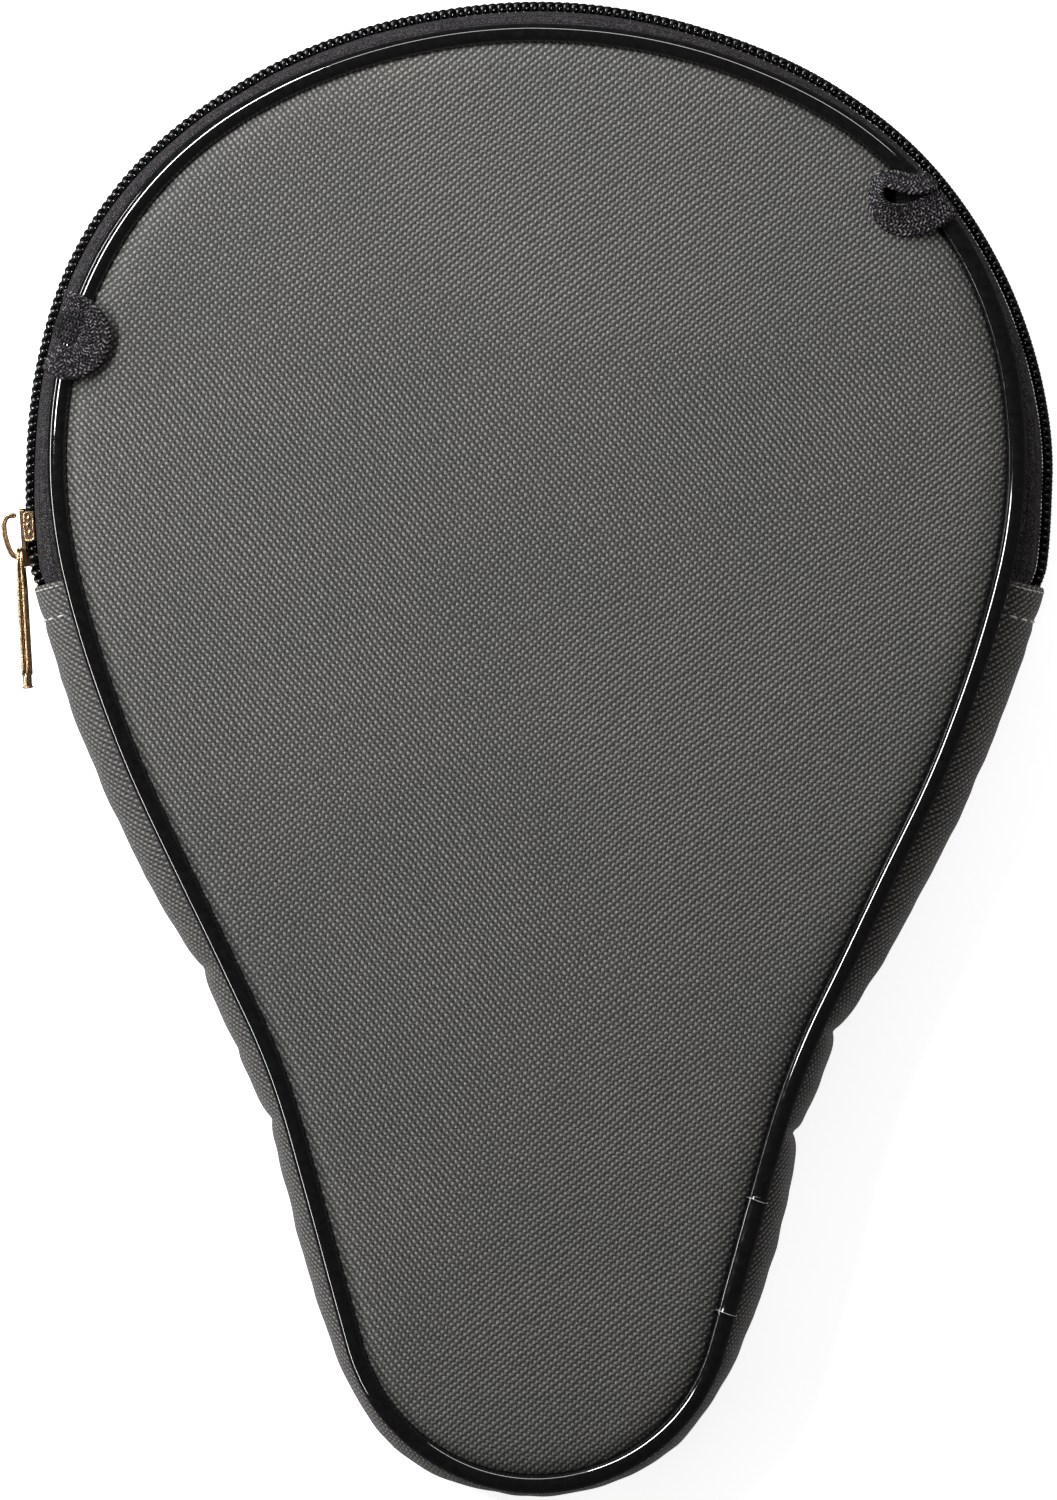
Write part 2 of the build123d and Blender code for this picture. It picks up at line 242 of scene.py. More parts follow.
def fill_ends(thing):
    """Close each open end of a mesh with one face."""
    work = bmesh.new()
    work.from_mesh(thing.data)
    bmesh.ops.holes_fill(work, edges=[e for e in work.edges if e.is_boundary])
    work.to_mesh(thing.data)
    work.free()


def tidy(thing, merge=0.0):
    """Merge points closer than merge mm, drop faces with no area, and turn normals outwards."""
    work = bmesh.new()
    work.from_mesh(thing.data)
    if merge:
        bmesh.ops.remove_doubles(work, verts=work.verts, dist=merge * MM)
        bmesh.ops.dissolve_degenerate(work, dist=merge * MM * 0.1, edges=work.edges)
    bmesh.ops.recalc_face_normals(work, faces=work.faces)
    work.to_mesh(thing.data)
    work.free()
    thing.data.polygons.foreach_set("use_smooth", [True] * len(thing.data.polygons))
    return thing


def apply_modifiers(thing):
    """Replace a mesh by what its modifiers make of it."""
    graph = bpy.context.evaluated_depsgraph_get()
    made = bpy.data.meshes.new_from_object(thing.evaluated_get(graph))
    thing.modifiers.clear()
    thing.data = made
    return thing


def thicken(thing, thickness, offset=-1.0):
    """Give a sheet a thickness in mm; offset -1 grows it inwards from its surface."""
    solid = thing.modifiers.new("cloth_thickness", "SOLIDIFY")
    solid.thickness = thickness * MM
    solid.offset = offset
    solid.use_even_offset = False
    return apply_modifiers(thing)


def tube(name, path, radius, sides=10, closed=False, squash=1.0, ends=True, up=(0, 0, 1)):
    """A tube along a path; radius may vary along it, and squash flattens it along up."""
    path = np.asarray(path, float)
    count = len(path)
    radius = np.broadcast_to(radius, (count,))
    if closed:
        along = np.roll(path, -1, 0) - np.roll(path, 1, 0)
    else:
        along = np.gradient(path, axis=0)
    along = unit(along)
    side = unit(np.cross(along, np.broadcast_to(np.asarray(up, float), path.shape)))
    top = np.cross(side, along)
    turn = around(sides)
    ring = side[:, None] * np.cos(turn)[None, :, None]
    ring = ring + top[:, None] * np.sin(turn)[None, :, None] * squash
    points = path[:, None] + ring * radius[:, None, None]
    steps = np.linalg.norm(np.diff(np.vstack([path, path[:1]]), axis=0), axis=1)
    s = running_sum(steps)[: count + closed]
    v = np.arange(sides + 1) * 2 * math.pi * float(radius.mean()) / sides
    thing = grid(name, points, uv_grid(s, v), wrap_u=closed, wrap_v=True)
    if ends and not closed:
        fill_ends(thing)
    return tidy(thing)


def join(name, things):
    """Join several objects into one piece, with each one's material kept."""
    mesh = bpy.data.meshes.new(name)
    work = bmesh.new()
    for thing in things:
        first = len(mesh.materials)
        for material in thing.data.materials:
            mesh.materials.append(material)
        old = len(work.faces)
        work.from_mesh(thing.data)
        work.faces.ensure_lookup_table()
        for face in work.faces[old:]:
            face.material_index += first
    work.to_mesh(mesh)
    work.free()
    for thing in things:
        bpy.data.objects.remove(thing)
    whole = bpy.data.objects.new(name, mesh)
    bpy.context.scene.collection.objects.link(whole)
    return whole


def paint(thing, material):
    """Give the whole piece one material."""
    thing.data.materials.clear()
    thing.data.materials.append(material)
    return thing


# ---------------------------------------------------------------- materials
HALF_TURN = math.pi


def rgba(colour):
    """A plain colour with its alpha; an output is passed on as it is."""
    return (*colour, 1) if isinstance(colour, tuple) else colour


def dimmed(colour, share):
    """A colour brought down to this share of its brightness."""
    return tuple(part * share for part in colour)


class Shader:
    """A material with a Principled shader, and short calls to build what feeds it."""

    def __init__(self, name, roughness=0.6, metallic=0.0, specular=0.5, **inputs):
        self.material = bpy.data.materials.new(name)
        self.material.use_nodes = True
        self.tree = self.material.node_tree
        self.shader = self.tree.nodes["Principled BSDF"]
        self.shader.inputs["Roughness"].default_value = roughness
        self.shader.inputs["Metallic"].default_value = metallic
        self.shader.inputs["Specular IOR Level"].default_value = specular
        for key, value in inputs.items():
            self.shader.inputs[key.replace("_", " ")].default_value = value

    def add(self, kind, *values, **settings):
        """A node with its inputs linked or set in order, skipping None."""
        node = self.tree.nodes.new("ShaderNode" + kind)
        for key, value in settings.items():
            setattr(node, key, value)
        for socket, value in zip(node.inputs, values):
            self.feed(socket, value)
        return node

    def feed(self, socket, value):
        """Link an output into a socket, or set a plain value on it."""
        if value is None:
            return
        if isinstance(value, bpy.types.NodeSocket):
            self.tree.links.new(value, socket)
        else:
            socket.default_value = value

    def math(self, operation, *values):
        """One maths operation."""
        return self.add("Math", *values, operation=operation).outputs[0]

    def times(self, a, b):
        """The product of two values."""
        return self.math("MULTIPLY", a, b)

    def scaled(self, value, factor, added):
        """A value times a factor, plus what is added."""
        return self.math("MULTIPLY_ADD", value, factor, added)

    def uv(self, scale, rotation=0.0, warps=()):
        """UV in mm, warped by noise of each (amount, size), turned, and divided by scale."""
        place = self.add("TexCoord").outputs["UV"]
        for warp, size in warps:
            soft = self.noise(place, 1 / size, 1.0)
            shift = self.add("VectorMath", soft.outputs["Color"], (0.5, 0.5, 0.5), operation="SUBTRACT")
            shift = self.add("VectorMath", shift.outputs[0], (warp, warp, 0), operation="MULTIPLY")
            place = self.add("VectorMath", place, shift.outputs[0], operation="ADD").outputs[0]
        turned = self.add("Mapping", place)
        turned.inputs["Rotation"].default_value = (0, 0, math.radians(rotation))
        turned.inputs["Scale"].default_value = (1 / scale, 1 / scale, 1)
        parts = self.add("SeparateXYZ", turned.outputs[0])
        return parts.outputs[0], parts.outputs[1]

    def noise(self, place, scale, detail=2.0, roughness=0.5):
        """A noise texture node."""
        node = self.add("TexNoise")
        self.feed(node.inputs["Vector"], place)
        node.inputs["Scale"].default_value = scale
        node.inputs["Detail"].default_value = detail
        node.inputs["Roughness"].default_value = roughness
        return node

    def object_noise(self, size, detail=2.0):
        """Noise fixed to the object, with bumps of about size mm."""
        place = self.add("TexCoord").outputs["Object"]
        return self.noise(place, 1 / (size * MM), detail).outputs["Fac"]

    def wave(self, kind, value, factor=HALF_TURN):
        """The sine or cosine of a value times a factor."""
        return self.math(kind, self.times(value, factor))

    def remap(self, value, low, high, to_low, to_high):
        """Map a range of values to another, clamped."""
        return self.add("MapRange", value, low, high, to_low, to_high).outputs[0]

    def ramp(self, value, *stops):
        """A colour ramp from (position, colour) stops."""
        node = self.add("ValToRGB", value)
        while len(node.color_ramp.elements) < len(stops):
            node.color_ramp.elements.new(0.5)
        for element, (position, colour) in zip(node.color_ramp.elements, stops):
            element.position = position
            element.color = (*colour, 1)
        return node.outputs[0]

    def mix(self, factor, a, b, blend="MIX"):
        """Mix two colours."""
        node = self.add("Mix", data_type="RGBA", blend_type=blend)
        self.feed(node.inputs["Factor"], factor)
        self.feed(node.inputs[6], rgba(a))
        self.feed(node.inputs[7], rgba(b))
        return node.outputs[2]

    def finish(self, colour, roughness=None, height=None, depth=0.1, more_height=None, more_depth=0.02):
        """Connect colour, roughness and one or two layers of bump, in mm, and return the material."""
        self.feed(self.shader.inputs["Base Color"], colour)
        self.feed(self.shader.inputs["Roughness"], roughness)
        normal = None
        for value, distance in ((more_height, more_depth), (height, depth)):
            if value is None:
                continue
            bump = self.add("Bump")
            bump.inputs["Strength"].default_value = 1.0
            bump.inputs["Distance"].default_value = distance * MM
            self.feed(bump.inputs["Height"], value)
            self.feed(bump.inputs["Normal"], normal)
            normal = bump.outputs[0]
        self.feed(self.shader.inputs["Normal"], normal)
        return self.material


def plain_weave(shader, across, along, power=0.7):
    """Over-and-under yarns: warp and weft heights from 0 to 1, and a random number for each crossing."""
    wave_a = shader.wave("SINE", across)
    wave_b = shader.wave("SINE", along)
    cell_a = shader.math("FLOOR", across)
    cell_b = shader.math("FLOOR", along)
    sign_a = shader.wave("COSINE", cell_a)
    sign_b = shader.wave("COSINE", cell_b)
    round_a = shader.math("POWER", shader.math("ABSOLUTE", wave_a), power)
    round_b = shader.math("POWER", shader.math("ABSOLUTE", wave_b), power)
    over = shader.scaled(shader.times(sign_a, wave_b), 0.5, 0.5)
    under = shader.scaled(shader.times(sign_b, wave_a), -0.5, 0.5)
    cell = shader.add("CombineXYZ", cell_a, cell_b, 0.0).outputs[0]
    chance = shader.add("TexWhiteNoise", cell, noise_dimensions="2D").outputs[0]
    return shader.times(round_a, over), shader.times(round_b, under), chance


YARN_PITCH = 0.775
LINING_PITCH = 0.36


def oxford_cloth(name, rotation=7.0, tint=(1.0, 0.985, 0.91)):
    """Dark grey oxford cloth: pale flecks where the warp crosses over, partly the yarn's own tone and
    partly a painted highlight on each float's crest, with darker weft between them.
    """
    shader = Shader(name, roughness=0.62, specular=0.4, Sheen_Weight=0.1, Sheen_Roughness=0.5)
    across, along = shader.uv(YARN_PITCH, rotation, ((1.6, 26.0), (0.46, 1.3)))
    warp, weft, chance = plain_weave(shader, across, along, 0.75)
    height = shader.math("MAXIMUM", warp, shader.times(weft, 0.75))
    # the crossings line up into faint diagonal ribs, one way here and the other way there
    rising = shader.wave("COSINE", shader.math("ADD", across, along))
    falling = shader.wave("COSINE", shader.math("SUBTRACT", across, along))
    lie = shader.remap(shader.object_noise(60, 0.0), 0.4, 0.6, 0.15, 0.85)
    rising = shader.times(rising, shader.math("SUBTRACT", lie, 1.0))
    ribs = shader.scaled(falling, lie, rising)
    filament = shader.noise(shader.add("TexCoord").outputs["UV"], 4.2, 3.0, 0.8).outputs["Fac"]
    # the pale flecks on the warp floats are partly painted highlight, lighter where the yarn's crest is
    # higher
    fleck_and_highlight = shader.times(warp, shader.scaled(chance, 0.25, 0.85))
    ground = shader.times(weft, shader.scaled(chance, -0.25, 0.9))
    light = shader.math("MAXIMUM", fleck_and_highlight, ground)
    light = shader.scaled(light, 0.5, shader.scaled(ribs, 0.3, 0.25))
    light = shader.times(light, shader.remap(filament, 0.32, 0.68, 0.25, 1.65))
    levels = ((0.0, 0.0015), (0.42, 0.0225), (1.0, 0.19))
    colour = shader.ramp(light, *((place, dimmed(tint, level)) for place, level in levels))
    patch = shader.object_noise(34, 3.0)
    shade = shader.ramp(patch, (0.3, (0.86, 0.87, 0.88)), (0.7, (1.0, 0.99, 0.97)))
    colour = shader.mix(1.0, colour, shade, "MULTIPLY")
    rough = shader.remap(light, 0.0, 0.8, 0.78, 0.5)
    return shader.finish(colour, rough, height, 0.16, filament, 0.03)


def herringbone(shader, pitch, band, slope=0.9):
    """Diagonal ribs that change direction from band to band: height 0 to 1."""
    along, across = shader.uv(1.0, 0.0, ((0.25, 3.0),))
    lane = shader.math("DIVIDE", across, band)
    zigzag = shader.math("PINGPONG", lane, 1.0)
    slant = shader.scaled(zigzag, band * slope, along)
    rib = shader.scaled(shader.wave("SINE", slant, 2 * math.pi / pitch), 0.5, 0.5)
    edge = shader.math("ABSOLUTE", shader.wave("SINE", lane))
    return shader.times(rib, shader.remap(edge, 0.0, 0.35, 0.3, 1.0))


def tape_cloth(name, pitch=0.46, band=1.55, slope=1.0, high=0.13, depth=0.1, speckle=0.24):
    """Black woven tape in a herringbone, with faint lighter, slightly purple ribs as bright as high."""
    low = 0.003
    shader = Shader(name, roughness=0.75, specular=0.12)
    rib = herringbone(shader, pitch, band, slope)
    fine = shader.object_noise(speckle, 2.0)
    light = shader.times(rib, shader.remap(fine, 0.42, 0.66, 0.02, 1.3))
    colour = shader.ramp(
        light,
        (0.0, (low, low, low * 1.1)),
        (0.5, (high * 0.22, high * 0.2, high * 0.22)),
        (1.0, (high, high * 0.92, high * 0.96)),
    )
    return shader.finish(colour, shader.remap(light, 0.0, 1.0, 0.85, 0.55), rib, depth, fine, 0.03)


def fine_cloth(name, colour):
    """Thin plain-woven lining cloth with a slight sheen."""
    shader = Shader(name, roughness=0.55, specular=0.4, Sheen_Weight=0.25)
    across, along = shader.uv(LINING_PITCH, 2.0, ((0.8, 20.0),))
    warp, weft, chance = plain_weave(shader, across, along)
    height = shader.math("MAXIMUM", warp, weft)
    light = shader.times(height, shader.scaled(chance, 0.5, 0.6))
    cover = shader.ramp(light, (0.0, dimmed(colour, 0.35)), (0.9, colour))
    crease = shader.object_noise(9, 2.0)
    return shader.finish(cover, shader.remap(light, 0, 1, 0.7, 0.45), height, 0.06, crease, 0.25)


def ribbed_tape(name, colour, pitch=0.7):
    """Grosgrain binding: ribs across the tape."""
    shader = Shader(name, roughness=0.6, specular=0.4, Sheen_Weight=0.2)
    along = shader.uv(pitch)[0]
    rib = shader.scaled(shader.wave("SINE", along, 2 * math.pi), 0.5, 0.5)
    fine = shader.object_noise(0.3, 2.0)
    light = shader.times(rib, shader.remap(fine, 0.3, 0.7, 0.6, 1.1))
    colour = shader.ramp(light, (0.0, dimmed(colour, 0.4)), (1.0, colour))
    return shader.finish(colour, None, rib, 0.12, fine, 0.03)


def glossy_vinyl(name, roughness=0.06, waves=0.01):
    """Black extruded PVC: glossy, faintly uneven, with a few dull scuffs."""
    shader = Shader(name, roughness=roughness, specular=0.5, Coat_Weight=0.5, Coat_Roughness=0.04)
    soft = shader.object_noise(7.0, 2.0)
    scuff = shader.object_noise(1.4, 4.0)
    colour = shader.ramp(scuff, (0.35, (0.002, 0.002, 0.002)), (0.75, (0.005, 0.005, 0.0048)))
    rough = shader.remap(scuff, 0.5, 0.8, roughness, roughness + 0.1)
    return shader.finish(colour, rough, soft, waves, scuff, 0.004)


def nylon_coil(name):
    """Black nylon monofilament: smooth, half glossy."""
    shader = Shader(name, roughness=0.2, specular=0.7)
    fine = shader.object_noise(0.5, 2.0)
    colour = shader.ramp(fine, (0.3, (0.004, 0.004, 0.0042)), (0.8, (0.012, 0.012, 0.0125)))
    return shader.finish(colour, shader.remap(fine, 0.4, 0.7, 0.13, 0.3), fine, 0.008)


def gold_metal(name):
    """Gold-plated zinc alloy: fine drawing lines, small pits and a warmer tone in worn patches."""
    shader = Shader(name, roughness=0.2, metallic=1.0, specular=0.5)
    grain = shader.object_noise(0.3, 3.0)
    patch = shader.object_noise(1.6, 2.0)
    worn, plain, bright = (0.44, 0.28, 0.15), (0.6, 0.41, 0.235), (0.7, 0.51, 0.31)
    colour = shader.ramp(patch, (0.25, worn), (0.5, plain), (0.8, bright))
    rough = shader.remap(grain, 0.35, 0.75, 0.17, 0.32)
    return shader.finish(colour, rough, grain, 0.003, patch, 0.012)


def pale_thread(name):
    """Light grey sewing thread with a twist."""
    shader = Shader(name, roughness=0.6, specular=0.3)
    along, across = shader.uv(0.35)
    twist = shader.math("ADD", along, across)
    wave = shader.scaled(shader.wave("SINE", twist, 6.283), 0.5, 0.5)
    colour = shader.ramp(wave, (0.0, (0.22, 0.21, 0.19)), (1.0, (0.58, 0.56, 0.52)))
    return shader.finish(colour, None, wave, 0.05)


BRAID_PITCH = 0.74
BRAID_COLUMN = 0.86


def loop_braid(name, high):
    """The webbing loops' coarse braid, as bright as high."""
    return tape_cloth(name, BRAID_PITCH, BRAID_COLUMN, 0.75, high, depth=0.22, speckle=0.5)


CLOTH = oxford_cloth("oxford_cloth")
GUSSET_CLOTH = oxford_cloth("gusset_cloth", rotation=0.0, tint=(1.0, 0.97, 0.9))
TAPE = tape_cloth("zip_tape_cloth")
BRAID = loop_braid("loop_braid", 0.2)
LINING = fine_cloth("lining_cloth", (0.035, 0.035, 0.04))
BINDING = ribbed_tape("binding_tape", (0.03, 0.03, 0.032))
VINYL = glossy_vinyl("piping_vinyl")
SLEEVE_VINYL = glossy_vinyl("sleeve_vinyl", 0.13, 0.12)
# Darker copies of the tape and the braid for the layers under the loops' eyes: painted shade for the shadow
# in each eye
SHADED_TAPE = tape_cloth("painted_shade_tape", high=0.012)
SHADED_BRAID = loop_braid("painted_shade_braid", 0.08)
# Pale ribbed material for the sleeve's cut edges: partly the edge's own paler tone, partly painted
# highlight
CUT_EDGE_AND_HIGHLIGHT_VINYL = ribbed_tape("cut_edge_and_highlight_vinyl", (0.42, 0.4, 0.37), 2.1)
NYLON = nylon_coil("coil_nylon")
GOLD = gold_metal("gold_plate")
THREAD = pale_thread("gusset_thread")


def bends(thing, slot, *nodes):
    """A piece that crosses the fold, and the CAD nodes that it stands for."""
    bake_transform(thing)
    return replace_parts(thing, *nodes) if nodes else thing


def rides(thing, body, slot, *nodes):
    """A piece that moves with one body, and the CAD nodes that it stands for."""
    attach(thing, body)
    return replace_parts(thing, *nodes) if nodes else thing


# ---------------------------------------------------------------- padded panels and linings
SPINE_TOP = 12.0
SPINE_BOTTOM = -160.0
EDGE_RINGS = (0.0, 0.35, 0.8, 1.4, 2.2, 3.4, 5.0, 7.5, 11.0, 15.0)
INNER_RINGS = 14
PANEL_STEP = 1.0


def leaf(inset):
    """Rings of points from the outline, moved in by inset, to the leaf's middle line."""
    s = np.arange(0, LENGTH, PANEL_STEP)
    point, normal = outline_at(s)
    edge = point - normal * inset
    spine = np.stack([np.zeros(len(s)), np.clip(edge[:, 1], SPINE_BOTTOM, SPINE_TOP)], -1)
    reach = np.linalg.norm(edge - spine, axis=1)
    rings = [1 - depth / reach for depth in EDGE_RINGS]
    for step in range(1, INNER_RINGS + 1):
        rings.append(rings[len(EDGE_RINGS) - 1] * (1 - step / INNER_RINGS))
    share = np.stack(rings, 1)[..., None]
    return spine[:, None] + (edge - spine)[:, None] * share


def slab(name, inset, upper, lower, side_inset=0.25):
    """A closed flat piece in the outline's shape; upper and lower give z from xy and edge distance."""
    plan = leaf(inset)
    depth = np.maximum(outline_distance(plan) - inset, 0)
    top = np.dstack([plan, upper(plan, depth)])
    under_plan = leaf(inset + side_inset)
    under_depth = np.maximum(outline_distance(under_plan) - inset, 0)
    bottom = np.dstack([under_plan, lower(under_plan, under_depth)])
    points = np.concatenate([top[:, ::-1], bottom], 1)
    uv = points[..., :2]
    uv = np.concatenate([uv, uv[:1]], 0)
    return tidy(grid(name, points, uv, wrap_u=True), merge=0.02)


CROWN = 1.5
EDGE_ROLL = 1.9
EDGE_ROLL_LENGTH = 1.7
CROWN_LENGTH = 24.0


def front_top(xy, depth):
    """The front panel's crowned outer face: it rolls up from the seam, then rises gently."""
    roll = EDGE_ROLL * (1 - np.exp(-depth / EDGE_ROLL_LENGTH))
    crown = CROWN * (1 - np.exp(-depth / CROWN_LENGTH))
    waves = 0.16 * wobble(xy, 38, 3) + 0.05 * wobble(xy, 9, 5)
    seam_pull = 0.1 * wobble(xy, 3.2, 8) * np.exp(-depth / 3.0) * smooth(depth / 0.8)
    return FRONT_SEAM_Z + 0.25 + roll + crown + waves * smooth(depth / 6) + seam_pull


def back_bottom(xy, depth):
    """The back panel's outer face: flat on what it rests on, and rolled up to the seam."""
    roll = 1.7 * np.exp(-depth / 1.5)
    waves = 0.09 * (1 + wobble(xy, 30, 13)) * smooth(depth / 6)
    return 0.03 + roll + waves


def level(z, waves=0.0, seed=0):
    """A flat face at z, with soft waves if asked."""
    return lambda xy, depth: z + waves * wobble(xy, 16, seed) * smooth(depth / 4)


SEAM_TUCK = 0.12
LINING_GAP = 0.2
FRONT_INNER_Z = 20.35
BACK_INNER_Z = 3.7
FRONT_LINING_Z = (20.3, 19.85)
BACK_LINING_Z = (4.2, 3.75)
LINING_WAVES = 0.12
front_panel = slab("front_panel", PIPING_R - SEAM_TUCK, front_top, level(FRONT_INNER_Z))
paint(front_panel, CLOTH)
front_panel_nodes = ("front_panel_upper", "front_panel_lower", "front_padding_upper", "front_padding_lower")
bends(front_panel, "shell_fabric", *front_panel_nodes)

back_panel = slab("back_panel_cover", PIPING_R - SEAM_TUCK, level(BACK_INNER_Z), back_bottom)
paint(back_panel, CLOTH)
rides(back_panel, "shell", "shell_fabric", "back_panel", "back_padding")

top, bottom = level(FRONT_LINING_Z[0]), level(FRONT_LINING_Z[1], LINING_WAVES, 21)
front_lining = paint(slab("front_lining", PIPING_R + LINING_GAP, top, bottom), LINING)
bends(front_lining, "lining_fabric", "front_lining_upper", "front_lining_lower")

top, bottom = level(BACK_LINING_Z[0], LINING_WAVES, 23), level(BACK_LINING_Z[1])
back_lining = paint(slab("back_lining_sheet", PIPING_R + LINING_GAP, top, bottom), LINING)
rides(back_lining, "shell", "lining_fabric", "back_lining")


# ---------------------------------------------------------------- seam bindings inside
def binding(name, z, toward):
    """The bound seam allowance: a soft flattened roll that stands off the lining."""
    sides, width, rise, seam_gap = 16, 3.9, 0.72, 2.2
    s = np.arange(0, LENGTH, 1.5)
    point, normal = outline_at(s)
    turn = around(sides)
    across = squarer(np.cos(turn), 0.7) * width
    up = squarer(np.sin(turn), 0.8) * rise
    ripple = wobble_along(s, 6, 31)[:, None] * 0.25
    rho = -(seam_gap + width) + across[None] + ripple
    lift = z + toward * up[None] + np.abs(ripple) * toward * 0.4
    xy = point[:, None] + normal[:, None] * rho[..., None]
    points = np.dstack([xy, np.broadcast_to(lift, rho.shape)])
    uv = uv_grid(np.append(s, LENGTH), np.linspace(0, 2 * width * 2, sides + 1))
    return paint(tidy(grid(name, points, uv, wrap_u=True, wrap_v=True)), BINDING)


front_binding = binding("front_seam_binding", 19.0, -1)
bends(front_binding, "binding_tape", "front_seam_binding_upper", "front_seam_binding_lower")
back_binding = binding("back_seam_binding_roll", 5.0, 1)
rides(back_binding, "shell", "binding_tape", "back_seam_binding")


# ---------------------------------------------------------------- piping
def piping(name, z, seed):
    """A whole loop of piping bead, with the slight unevenness of a sewn-in cord."""
    s = np.arange(0, LENGTH, 1.2)
    point, normal = outline_at(s)
    sway = 0.1 * wobble_along(s, 22, seed)
    lift = 0.12 * wobble_along(s, 30, seed + 1)
    path = np.column_stack([point + normal * sway[:, None], z + lift])
    size = PIPING_R * (1 + 0.012 * wobble_along(s, 12, seed + 2))
    return paint(tube(name, path, size, sides=28, closed=True), VINYL)


front_piping = piping("front_piping", FRONT_SEAM_Z, 41)
bends(front_piping, "piping_vinyl", "front_piping_upper", "front_piping_lower")
back_piping = piping("back_piping_bead", PIPING_R + 0.13, 51)
rides(back_piping, "shell", "piping_vinyl", "back_piping")


def joint_sleeve():
    """The shrunk sleeve over the front piping's joint, uneven and slightly proud."""
    low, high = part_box("front_piping_sleeve")
    trim, ring_sides = 0.6, 30
    s = np.arange(right_s(high.y / MM - trim), right_s(low.y / MM + trim), 0.35)
    point, normal = outline_at(s)
    end = np.minimum(s - s[0], s[-1] - s)
    bumps = wobble_along(s, 2.6, 61)
    size = PIPING_R + 0.16 + 0.07 * bumps * smooth(end / 1.5)
    size = size + 0.1 * np.exp(-(((end - 0.5) / 0.5) ** 2))
    size = np.where(end < 0.2, PIPING_R + 0.02, size)
    path = np.column_stack([point, np.full(len(s), FRONT_SEAM_Z)])
    parts = [paint(tube("sleeve", path, size, sides=32, ends=False), SLEEVE_VINYL)]
    # the cut ends, drawn as a thin pale ring: partly the sleeve's paler inside at the cut edge, partly a
    # painted highlight on that edge
    turn = np.radians(np.arange(0, 360, 360 / ring_sides))
    ring_r = PIPING_R + 0.2
    for k in (2, -3):
        xy = point[k] + np.cos(turn)[:, None] * (normal[k] * ring_r)
        ring = np.column_stack([xy, FRONT_SEAM_Z + np.sin(turn) * ring_r])
        ring[:, :2] += np.outer(0.12 * np.sin(turn * 2), (normal[k][1], -normal[k][0]))
        parts.append(paint(tube("ring", ring, 0.09, sides=6, closed=True, up=(0.3, 0.2, 0.1)), CUT_EDGE_AND_HIGHLIGHT_VINYL))
    return join("piping_joint_sleeve", parts)


sleeve = joint_sleeve()
rides(sleeve, "shell", "piping_vinyl", "front_piping_sleeve")


# ---------------------------------------------------------------- gusset
# How far the gusset bulges beyond the piping's centre line, every BULGE_STEP mm from the bottom's middle.
# These are measured and smoothed values, not chosen by hand.
BULGE_STEP = 7.0
RIGHT_BULGE = (
    *(3.4, 3.4, 3.3, 3.7, 3.9, 3.6, 3.9, 4.5, 5.6, 5.9, 6.2, 6.0, 5.6, 5.1, 4.9, 5.3),
    *(5.2, 5.2, 6.0, 6.9, 7.3, 7.5, 7.8, 8.0, 8.0, 8.1, 8.1, 8.2, 8.4, 8.6, 8.8, 8.8),
)
LEFT_BULGE = (
    *(3.4, 3.4, 4.0, 4.6, 5.0, 4.8, 4.6, 5.1, 5.6, 5.9, 6.0, 5.9, 5.7, 5.5, 5.7, 6.4),
    *(6.7, 6.7, 6.4, 6.5, 7.4, 7.9, 8.3, 8.3, 8.4, 8.5, 8.6, 8.6, 8.5, 8.5, 8.7, 8.7),
)
# Where the gusset is gathered into a tuck: side (1 right, -1 left), height, and depth
TUCKS = (
    (1, -104.8, 1.5),
    (1, -125.8, 2.0),
    (-1, -91.6, 1.1),
    (-1, -107.7, 0.5),
    (-1, -122.8, 1.0),
)
FOLD_S = right_s(FOLD_Y)
STITCH_Y = -21.9
STITCH_S = right_s(STITCH_Y)
GUSSET_ROOT = 0.7
SEAM_TO_MID = MID_Z - 3.5
GUSSET_COLUMNS = 31


def gusset_bulge(s):
    """The gusset's bulge at distances s round the outline."""
    steps = np.arange(len(RIGHT_BULGE)) * BULGE_STEP
    from_bottom = np.asarray(s) - LENGTH / 2
    base = np.interp(from_bottom, [*(-steps[:0:-1]), *steps], [*RIGHT_BULGE[:0:-1], *LEFT_BULGE])
    for side, y, depth in TUCKS:
        tuck_s = right_s(y) if side > 0 else LENGTH - right_s(y)
        base = base - depth * np.exp(-np.abs(s - tuck_s) / 1.9)
    ripple = wobble_along(s, 7.5, 71)
    reach = 1.3
    stitched = np.exp(-(((s - STITCH_S) / reach) ** 2)) + np.exp(-(((s - LENGTH + STITCH_S) / reach) ** 2))
    return base + 0.22 * ripple - 0.35 * stitched


def gusset_surface(s, lean, inset=0.0):
    """Points on the gusset; lean runs from 1 at the front seam to -1 at the back one."""
    s, lean = np.broadcast_arrays(np.asarray(s, float), np.asarray(lean, float))
    point, normal = outline_at(s)
    bulge = gusset_bulge(s)
    turn = lean * math.pi / 2
    fullness = np.abs(np.cos(turn)) ** 0.82
    crumple = 0.22 * wobble(np.stack([s * 0.9, lean * 9], -1), 4.2, 81) * fullness
    rho = GUSSET_ROOT + (bulge - GUSSET_ROOT - inset) * fullness + crumple
    z = MID_Z + (SEAM_TO_MID - inset) * squarer(np.sin(turn), 0.9)
    return np.concatenate([point + normal * rho[..., None], z[..., None]], -1)


# The hem's rows, out from the fold: how far back along the gusset, how deep, and how far on in the cloth
HEM = (
    (-0.35, 0.3, 0.6),
    (-0.4, 0.7, 1.1),
    (0.1, 1.0, 1.6),
    (3.0, 1.1, 5.0),
    (6.0, 1.1, 8.0),
)
HALF_WIDTH = 13.5


